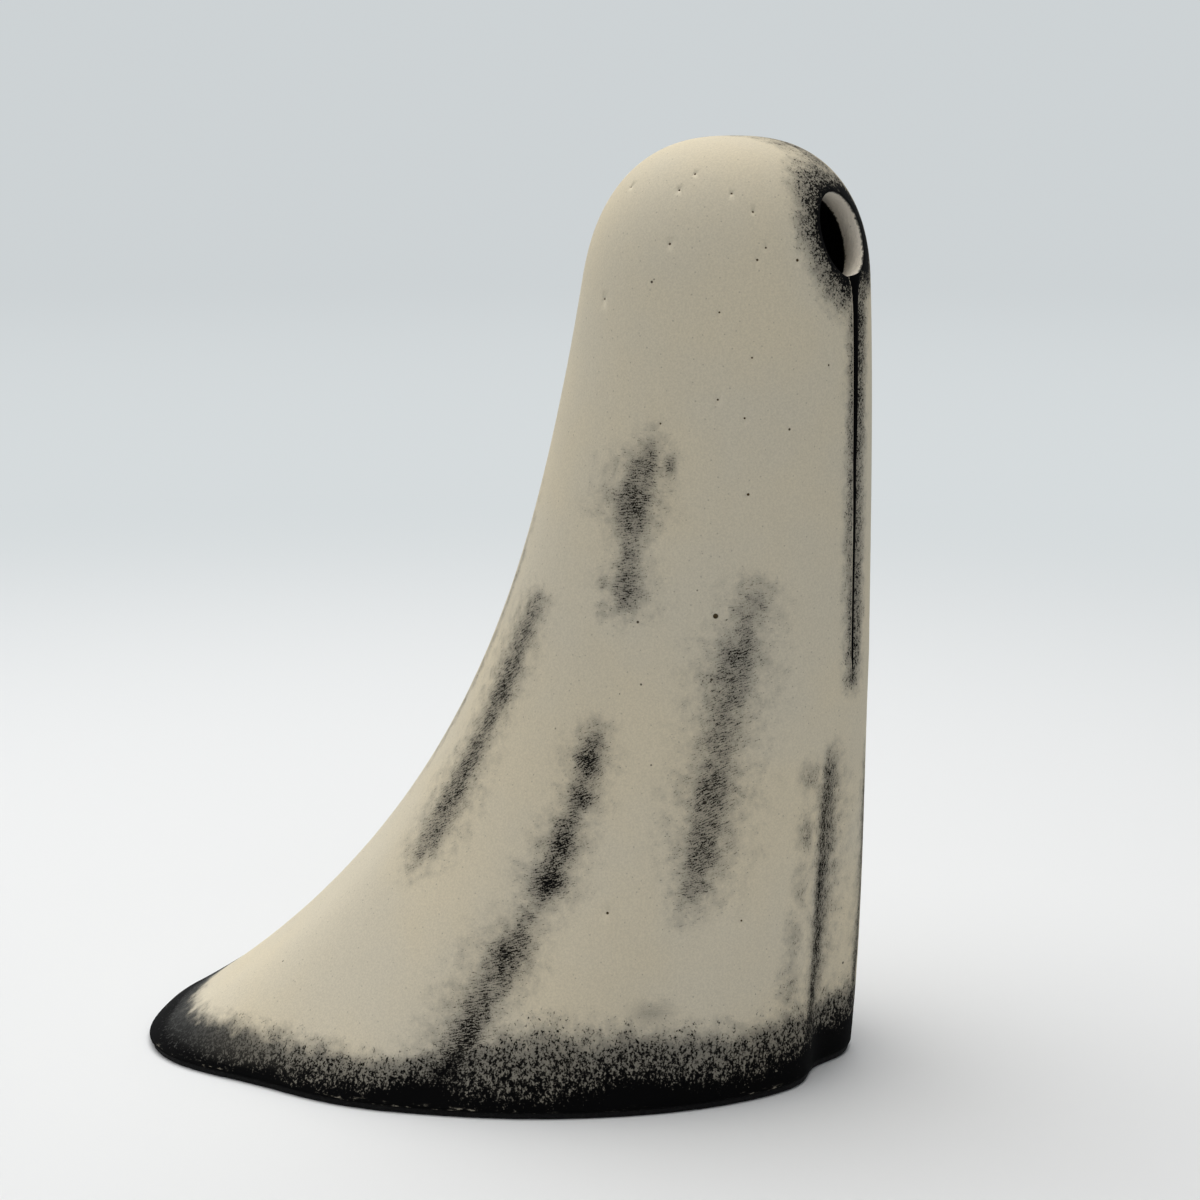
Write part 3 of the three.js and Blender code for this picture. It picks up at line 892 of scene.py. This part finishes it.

# %% [markdown]
# ### The cast body
# The cream is a smooth casting with a chalky grain, a faint cloudiness and the tiny pinholes that
# air bubbles leave, darkened inside with painted shade. Towards the hem the cream is a little
# lighter: painted light. One group makes all of it, so that the painted outside and the bare cut
# edge are plainly the same stuff.

# %% The cast body group
cast_body, group_in, group_out = new_group(
    "Cast body", {"Place": ("v", (0, 0, 0)), "Colour": ("c", (0.66, 0.6, 0.47, 1)), "Pinholes": ("f", 1.0)},
    {"Colour": "c", "Height": "f", "Roughness": "f"})
place = group_in.outputs["Place"]
cloud = noise(cast_body, place, 0.035, 3.0, 0.5)
chalk = noise(cast_body, place, 3.2, 3.0, 0.7)
warmer = blend_colour(cast_body, ramp(cast_body, cloud, 0.35, 0.65), (0.97, 0.975, 0.99, 1),
                      (1.02, 1.0, 0.965, 1))
toned = add(cast_body, "Mix", data_type="RGBA", blend_type="MULTIPLY")
toned.inputs[0].default_value = 1.0
cast_body.links.new(group_in.outputs["Colour"], toned.inputs[6])
cast_body.links.new(warmer, toned.inputs[7])
grain_value = ramp(cast_body, chalk, 0.3, 0.7, 0.92, 1.06)
# Up to 8% lighter towards the hem: painted light
painted_light_low_down = ramp(cast_body, add(cast_body, "SeparateXYZ", {0: place}).outputs[2], 20.0, 85.0, 1.08, 1.0)
grained = add(cast_body, "VectorMath", {0: toned.outputs[2]}, operation="SCALE")
cast_body.links.new(calc(cast_body, "MULTIPLY", grain_value, painted_light_low_down), grained.inputs["Scale"])
holes = add(cast_body, "TexVoronoi", {"Vector": place, "Scale": 0.2, "Randomness": 1.0})
hole_size = ramp(cast_body, add(cast_body, "SeparateColor", {0: holes.outputs["Color"]}).outputs[0],
                 0.2, 1.0, 0.0, 0.05)
hole = ramp(cast_body, calc(cast_body, "SUBTRACT", holes.outputs["Distance"], hole_size), -0.02, 0.01, 1, 0)
hole = calc(cast_body, "MULTIPLY", hole, group_in.outputs["Pinholes"])
dots = add(cast_body, "TexVoronoi", {"Vector": place, "Scale": 0.7, "Randomness": 1.0})
dot = calc(cast_body, "MULTIPLY", ramp(cast_body, dots.outputs["Distance"], 0.06, 0.12, 1, 0), 0.3)
# The pinholes' dark colour is painted shade in the craters; the dots are dark specks in the cream
specks_and_pit_shade = blend_colour(cast_body, calc(cast_body, "MAXIMUM", hole, dot), grained.outputs[0],
                      (0.075, 0.058, 0.038, 1))
relief = calc(cast_body, "MULTIPLY_ADD", hole, -6.0, calc(cast_body, "MULTIPLY", chalk, 0.5))
cast_body.links.new(specks_and_pit_shade, group_out.inputs["Colour"])
cast_body.links.new(relief, group_out.inputs["Height"])
cast_body.links.new(ramp(cast_body, chalk, 0.3, 0.7, 0.68, 0.8), group_out.inputs["Roughness"])

# %% [markdown]
# ### Painted cast
# The outside takes three brushes: slanted hairs in the strokes, upright ragged marks at the hem and
# short dabs round the face. The groove is filled solid. The foot of the hem is rubbed back to a pale
# broken line, as edges are when a piece is handled, and a thin pale line runs along the groove's near lip.

# %% The painted material
painted, tree, surface = new_material("painted_cast")
place = millimetres(tree)
body = use(tree, cast_body, Place=place)


def attribute(tree, name, output="Fac"):
    return add(tree, "Attribute", attribute_name=name).outputs[output]


stroke_paint = use(tree, dry_brush, Load=attribute(tree, "streak"),
                   Place=attribute(tree, "hair_place", "Vector"), Hair=(0.95, 4.2, 1.0),
                   Speck_size=0.24, Clump_size=2.2, Raggedness=1.05, Film=0.6)
axes = add(tree, "SeparateXYZ", {0: place}).outputs
tail = ramp(tree, axes[1], 4.0, 36.0)
smoke = calc(tree, "MULTIPLY_ADD", tail, 0.22, 0.75)
hem = attribute(tree, "hem")
hem_paint = use(tree, dry_brush, Load=hem, Place=place, Hair=(1.9, 1.9, 1.2),
                Speck_size=0.3, Clump_size=2.4, Raggedness=1.2, Film=smoke)
face_paint = use(tree, dry_brush, Load=attribute(tree, "face"), Place=place, Hair=(2.4, 2.4, 2.4),
                 Speck_size=0.22, Clump_size=2.0, Raggedness=1.1, Film=0.62)
softened = calc(tree, "MULTIPLY", tail, ramp(tree, hem, 0.7, 1.2, 0.6, 0.0))
hem_black = calc(tree, "MULTIPLY", hem_paint.outputs["Black"], calc(tree, "SUBTRACT", 1.0, softened))
black = calc(tree, "MAXIMUM", stroke_paint.outputs["Black"], hem_black)
black = calc(tree, "MAXIMUM", black, face_paint.outputs["Black"])
film = calc(tree, "MAXIMUM", stroke_paint.outputs["Film"], hem_paint.outputs["Film"])
film = calc(tree, "MAXIMUM", film, face_paint.outputs["Film"])
groove = attribute(tree, "groove")
far_lip = calc(tree, "MULTIPLY", ramp(tree, axes[0], float(AXIS[0]), float(AXIS[0]) + 0.2),
               ramp(tree, axes[2], 95.0, 122.0, 0.0, 0.42))
black = calc(tree, "MAXIMUM", black, ramp(tree, calc(tree, "ADD", groove, far_lip), -0.04, 0.04))
rubbed = calc(tree, "MULTIPLY", ramp(tree, axes[2], 1.4, 2.1, 1, 0),
              ramp(tree, noise(tree, scaled(tree, place, 0.5, 0.5, 2.4), 1.0, 4.0, 0.7), 0.57, 0.66))
rubbed = calc(tree, "MULTIPLY", rubbed, ramp(tree, noise(tree, place, 0.06, 1.0, 0.5), 0.44, 0.56, 0.0, 0.62))
# A thin pale line along the groove's near lip only
near_lip_line = calc(tree, "MULTIPLY", ramp(tree, groove, -0.3, -0.18), ramp(tree, groove, -0.06, 0.0, 1, 0))
near_lip_line = calc(tree, "MULTIPLY", near_lip_line, calc(tree, "LESS_THAN", axes[0], float(AXIS[0])))
pale_lines = calc(tree, "MAXIMUM", rubbed, calc(tree, "MULTIPLY", near_lip_line, 0.8))
kept = calc(tree, "SUBTRACT", 1.0, pale_lines)
black = calc(tree, "MULTIPLY", black, kept)
film = calc(tree, "MULTIPLY", film, calc(tree, "MULTIPLY_ADD", kept, 0.7, 0.3))
# The opened pinholes darkened inside: painted shade
pinhole_shaded = blend_colour(tree, attribute(tree, "pinhole"), body.outputs["Colour"], (0.1, 0.07, 0.035, 1))
thick = calc(tree, "MAXIMUM", calc(tree, "MULTIPLY", tail, ramp(tree, hem, 0.3, 0.8)),
             ramp(tree, hem, 0.9, 1.3))
film_tone = blend_colour(tree, thick, (0.084, 0.085, 0.082, 1), (0.034, 0.036, 0.038, 1))
coloured = blend_colour(tree, film, pinhole_shaded, film_tone)
coloured = blend_colour(tree, black, coloured, (0.002, 0.002, 0.0022, 1))
tree.links.new(coloured, surface.inputs["Base Color"])
rough = calc(tree, "MULTIPLY_ADD", black, 0.12, body.outputs["Roughness"])
tree.links.new(rough, surface.inputs["Roughness"])
surface.inputs["Specular IOR Level"].default_value = 0.04
relief = calc(tree, "MULTIPLY_ADD", black, 0.6, body.outputs["Height"])
emboss(tree, surface, relief, 0.35, 0.00004)

# %% [markdown]
# ### The cut edge and the inside
# The knife's cut through the wall was left bare, and the hood is painted black inside so that the
# face reads as empty dark. The cut's cream is paler than the outside's, partly as a fresh cut and
# partly as painted light, and it darkens towards the top of the oval with painted shade.

# %% The cut and inside materials
cut_edge, tree, surface = new_material("cut_edge")
place = millimetres(tree)
# Paler than the outside's cream: partly a fresh cut, partly painted light
body = use(tree, cast_body, Place=place, Colour=(0.98, 0.91, 0.79, 1), Pinholes=0.3)
knife = noise(tree, scaled(tree, place, 0.7, 3.2, 0.7), 1.0, 3.0, 0.6)
stain_and_painted_shade = blend_colour(tree, ramp(tree, knife, 0.35, 0.7, 0.0, 0.45), body.outputs["Colour"],
                       (0.7, 0.63, 0.52, 1))
through = calc(tree, "MULTIPLY_ADD", noise(tree, place, 1.7, 4.0, 0.7), 0.34,
               attribute(tree, "wall_share"))
smudged = calc(tree, "MAXIMUM", ramp(tree, through, 0.2, 0.3, 0.95, 0.0),
               ramp(tree, through, 1.1, 1.18, 0.0, 0.9))
# Darker towards the top of the oval: painted shade
painted_shade_near_top = ramp(tree, add(tree, "SeparateXYZ", {0: place}).outputs[2], 135.0, 141.0, 0.0, 0.5)
stain_and_painted_shade = blend_colour(tree, painted_shade_near_top, stain_and_painted_shade, (0.42, 0.38, 0.32, 1))
tree.links.new(blend_colour(tree, smudged, stain_and_painted_shade, (0.004, 0.004, 0.0042, 1)), surface.inputs["Base Color"])
tree.links.new(body.outputs["Roughness"], surface.inputs["Roughness"])
surface.inputs["Specular IOR Level"].default_value = 0.3
emboss(tree, surface, knife, 0.4, 0.0001)

inside, tree, surface = new_material("inside_black")
place = millimetres(tree)
swirl = noise(tree, scaled(tree, place, 0.5, 0.5, 1.6), 1.0, 3.0, 0.6)
tree.links.new(blend_colour(tree, ramp(tree, swirl, 0.3, 0.7), (0.004, 0.004, 0.0045, 1),
                            (0.012, 0.0115, 0.011, 1)), surface.inputs["Base Color"])
tree.links.new(ramp(tree, swirl, 0.3, 0.7, 0.75, 0.95), surface.inputs["Roughness"])
surface.inputs["Specular IOR Level"].default_value = 0.2
for material in (painted, cut_edge, inside):
    shroud_mesh.materials.append(material)
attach(shroud, "root")
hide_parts("shroud_shell")
print("shroud materials:", [material.name for material in shroud_mesh.materials])

# %% [markdown]
# ## The felt
# A sheet of black felt is glued under the hem so that the casting doesn't scratch a shelf. It is cut
# just short of the hem all round. It starts as a ring on the hem's outline, is filled, given its
# thickness, and its cut edge is softened and made slightly fuzzy.

# %% Cut the felt
FELT_THICKNESS = 1.0
FELT_REVEAL = 0.4
FELT_POINTS = 240
FELT_FUZZ = 0.12
FELT_BORDER = 2.0
FELT_ROUNDING = 0.18
FELT_CORNER = math.radians(60)
felt_mesh = bpy.data.meshes.new("felt_sheet")
bm = bmesh.new()
ring = bmesh.ops.create_circle(bm, segments=FELT_POINTS, radius=0.01)["verts"]
way = np.linspace(-math.pi, math.pi, FELT_POINTS, endpoint=False)
fuzz = FELT_FUZZ * (np.sin(way * 61) + np.sin(way * 97 + 1) + np.sin(way * 143 + 2)) / 3
outline = laid_outline(way, 0.0, FELT_REVEAL, -FELT_THICKNESS)
middle = outline.mean(0)
outward = (outline - middle) / np.linalg.norm(outline - middle, axis=1, keepdims=True)
outline = outline - outward * np.abs(fuzz)[:, None]
set_ring(ring, outline)
disc = bmesh.ops.contextual_create(bm, geom=ring_edges(ring))["faces"]
bmesh.ops.inset_region(bm, faces=disc, thickness=FELT_BORDER * MM, use_even_offset=True)
bmesh.ops.solidify(bm, geom=list(bm.faces), thickness=-FELT_THICKNESS * MM)
bmesh.ops.recalc_face_normals(bm, faces=bm.faces)
corner_edges = [edge for edge in bm.edges if len(edge.link_faces) == 2
                and edge.calc_face_angle(0) > FELT_CORNER]
round_off(bm, corner_edges, FELT_ROUNDING, 2)
for face in bm.faces:
    face.smooth = False
bm.to_mesh(felt_mesh)
bm.free()
felt = bpy.data.objects.new("felt_sheet", felt_mesh)
bpy.context.scene.collection.objects.link(felt)

# %% [markdown]
# ### Felt and board finishes
# Felt is matted wool: short fibres at every angle, a dusty nap and a little lint. The board above
# it is dark fibreboard, with pressed fibres along its faces.

# %% The felt and board materials
felt_finish, tree, surface = new_material("black_felt")
place = millimetres(tree)
nap = noise(tree, place, 1.1, 5.0, 0.7)
fibres = noise(tree, scaled(tree, place, 3.0, 0.8, 2.0), 1.5, 4.0, 0.7)
crossed = noise(tree, scaled(tree, place, 0.8, 3.0, 2.0), 1.5, 4.0, 0.7)
matted = calc(tree, "MAXIMUM", fibres, crossed)
lint = add(tree, "TexVoronoi", {"Vector": place, "Scale": 0.22, "Randomness": 1.0})
fleck = ramp(tree, lint.outputs["Distance"], 0.04, 0.09, 1, 0)
shade = blend_colour(tree, ramp(tree, matted, 0.45, 0.75), (0.004, 0.004, 0.0045, 1),
                     (0.016, 0.0155, 0.015, 1))
shade = blend_colour(tree, ramp(tree, nap, 0.5, 0.8, 0.0, 0.35), shade, (0.04, 0.038, 0.036, 1))
shade = blend_colour(tree, calc(tree, "MULTIPLY", fleck, 0.5), shade, (0.3, 0.28, 0.25, 1))
tree.links.new(shade, surface.inputs["Base Color"])
surface.inputs["Roughness"].default_value = 0.97
surface.inputs["Specular IOR Level"].default_value = 0.15
surface.inputs["Sheen Weight"].default_value = 0.05
emboss(tree, surface, calc(tree, "ADD", matted, nap), 0.8, 0.00015)
felt_mesh.materials.append(felt_finish)
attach(felt, "root")
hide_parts("felt_base")

board_finish, tree, surface = new_material("dark_board")
place = millimetres(tree)
pressed = noise(tree, scaled(tree, place, 0.9, 0.35, 4.0), 1.2, 5.0, 0.65)
chips = noise(tree, place, 0.6, 4.0, 0.7)
tone = blend_colour(tree, ramp(tree, pressed, 0.35, 0.7), (0.022, 0.018, 0.015, 1), (0.06, 0.048, 0.038, 1))
tone = blend_colour(tree, ramp(tree, chips, 0.55, 0.72, 0.0, 0.5), tone, (0.095, 0.075, 0.055, 1))
tree.links.new(tone, surface.inputs["Base Color"])
tree.links.new(ramp(tree, pressed, 0.3, 0.7, 0.75, 0.92), surface.inputs["Roughness"])
emboss(tree, surface, pressed, 0.5, 0.0001)
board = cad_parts["base_board"]
board.data.materials.clear()
board.data.materials.append(board_finish)

# %% [markdown]
# ## The stage
# A seamless pale ground runs out into the backdrop's own colour with distance, so no horizon shows.
# Light comes from a very wide soft box above, a second one behind on the left that brightens the
# edges, and a weak one in front of the face.

# %% Floor, light and camera
BACKDROP = (0.612, 0.648, 0.664, 1)
NEAR_BACKDROP = (0.672, 0.71, 0.724, 1)
FLOOR_TONE = (0.8, 0.812, 0.825, 1)
stage_mesh = bpy.data.meshes.new("ground")
bm = bmesh.new()
bmesh.ops.create_circle(bm, cap_ends=True, segments=96, radius=5.0)
bm.to_mesh(stage_mesh)
bm.free()
ground = bpy.data.objects.new("ground", stage_mesh)
bpy.context.scene.collection.objects.link(ground)
ground_finish, tree, surface = new_material("ground")
surface.inputs["Base Color"].default_value = FLOOR_TONE
surface.inputs["Roughness"].default_value = 0.9
surface.inputs["Specular IOR Level"].default_value = 0.1
place = add(tree, "TexCoord").outputs["Object"]
away = add(tree, "VectorMath", {0: place}, operation="LENGTH").outputs["Value"]
far_tone = blend_colour(tree, ramp(tree, away, 0.5, 3.0), NEAR_BACKDROP, BACKDROP)
glow = add(tree, "Emission", {"Color": far_tone, "Strength": 1.0})
mixed = add(tree, "MixShader", {0: ramp(tree, away, 0.12, 0.7), 1: surface.outputs[0], 2: glow.outputs[0]})
tree.links.new(mixed.outputs[0], tree.nodes["Material Output"].inputs["Surface"])
stage_mesh.materials.append(ground_finish)

AMBIENT = 0.09
world = bpy.data.worlds.new("studio")
bpy.context.scene.world = world
world.use_nodes = True
tree = world.node_tree
ambient = tree.nodes["Background"]
ambient.inputs["Color"].default_value = (0.92, 0.96, 1.0, 1)
ambient.inputs["Strength"].default_value = AMBIENT
seen = add(tree, "Background", {"Color": BACKDROP, "Strength": 1.0})
rays = add(tree, "LightPath")
shown = calc(tree, "MAXIMUM", rays.outputs["Is Camera Ray"], rays.outputs["Is Glossy Ray"])
shown = calc(tree, "MAXIMUM", shown, rays.outputs["Is Transmission Ray"])
mixed = add(tree, "MixShader", {0: shown, 1: ambient.outputs[0], 2: seen.outputs[0]})
tree.links.new(mixed.outputs[0], tree.nodes["World Output"].inputs["Surface"])


def soft_box(name, place, target, size, power, colour):
    lamp = bpy.data.lights.new(name, "AREA")
    lamp.shape = "DISK"
    lamp.size = size
    lamp.energy = power
    lamp.color = colour
    holder = bpy.data.objects.new(name, lamp)
    holder.location = place
    holder.rotation_euler = (Vector(target) - Vector(place)).to_track_quat("-Z", "Y").to_euler()
    holder.visible_camera = False
    bpy.context.scene.collection.objects.link(holder)


soft_box("overhead", (0.08, 0.2, 1.1), (0, 0, 0.06), 1.6, 17.4, (1.0, 0.99, 0.97))
soft_box("behind", (0.15, 1.3, 0.5), (0, 0, 0.08), 1.4, 3.0, (1.0, 0.995, 0.98))
soft_box("front", (-0.66, -0.95, 0.24), (0, 0, 0.08), 0.9, 1.6, (0.99, 0.99, 1.0))

# The camera's place and aim in the form's millimetres, so that it keeps its view of the cloak
CAMERA_PLACE = (-328.2, -202.5, 142.6)
CAMERA_TARGET = (-9.6, 20.7, 74.0)
FOCAL_LENGTH = 72
SENSOR_WIDTH = 36
lens = bpy.data.cameras.new("photo_view")
lens.lens = FOCAL_LENGTH
lens.sensor_width = SENSOR_WIDTH
lens.clip_start = 0.01
lens.clip_end = 20
camera = bpy.data.objects.new("photo_view", lens)
camera.location = placed(np.array(CAMERA_PLACE))
aim = Vector(placed(np.array(CAMERA_TARGET))) - camera.location
camera.rotation_euler = aim.to_track_quat("-Z", "Y").to_euler()
bpy.context.scene.collection.objects.link(camera)
bpy.context.scene.camera = camera
bpy.context.scene.view_settings.view_transform = "Standard"
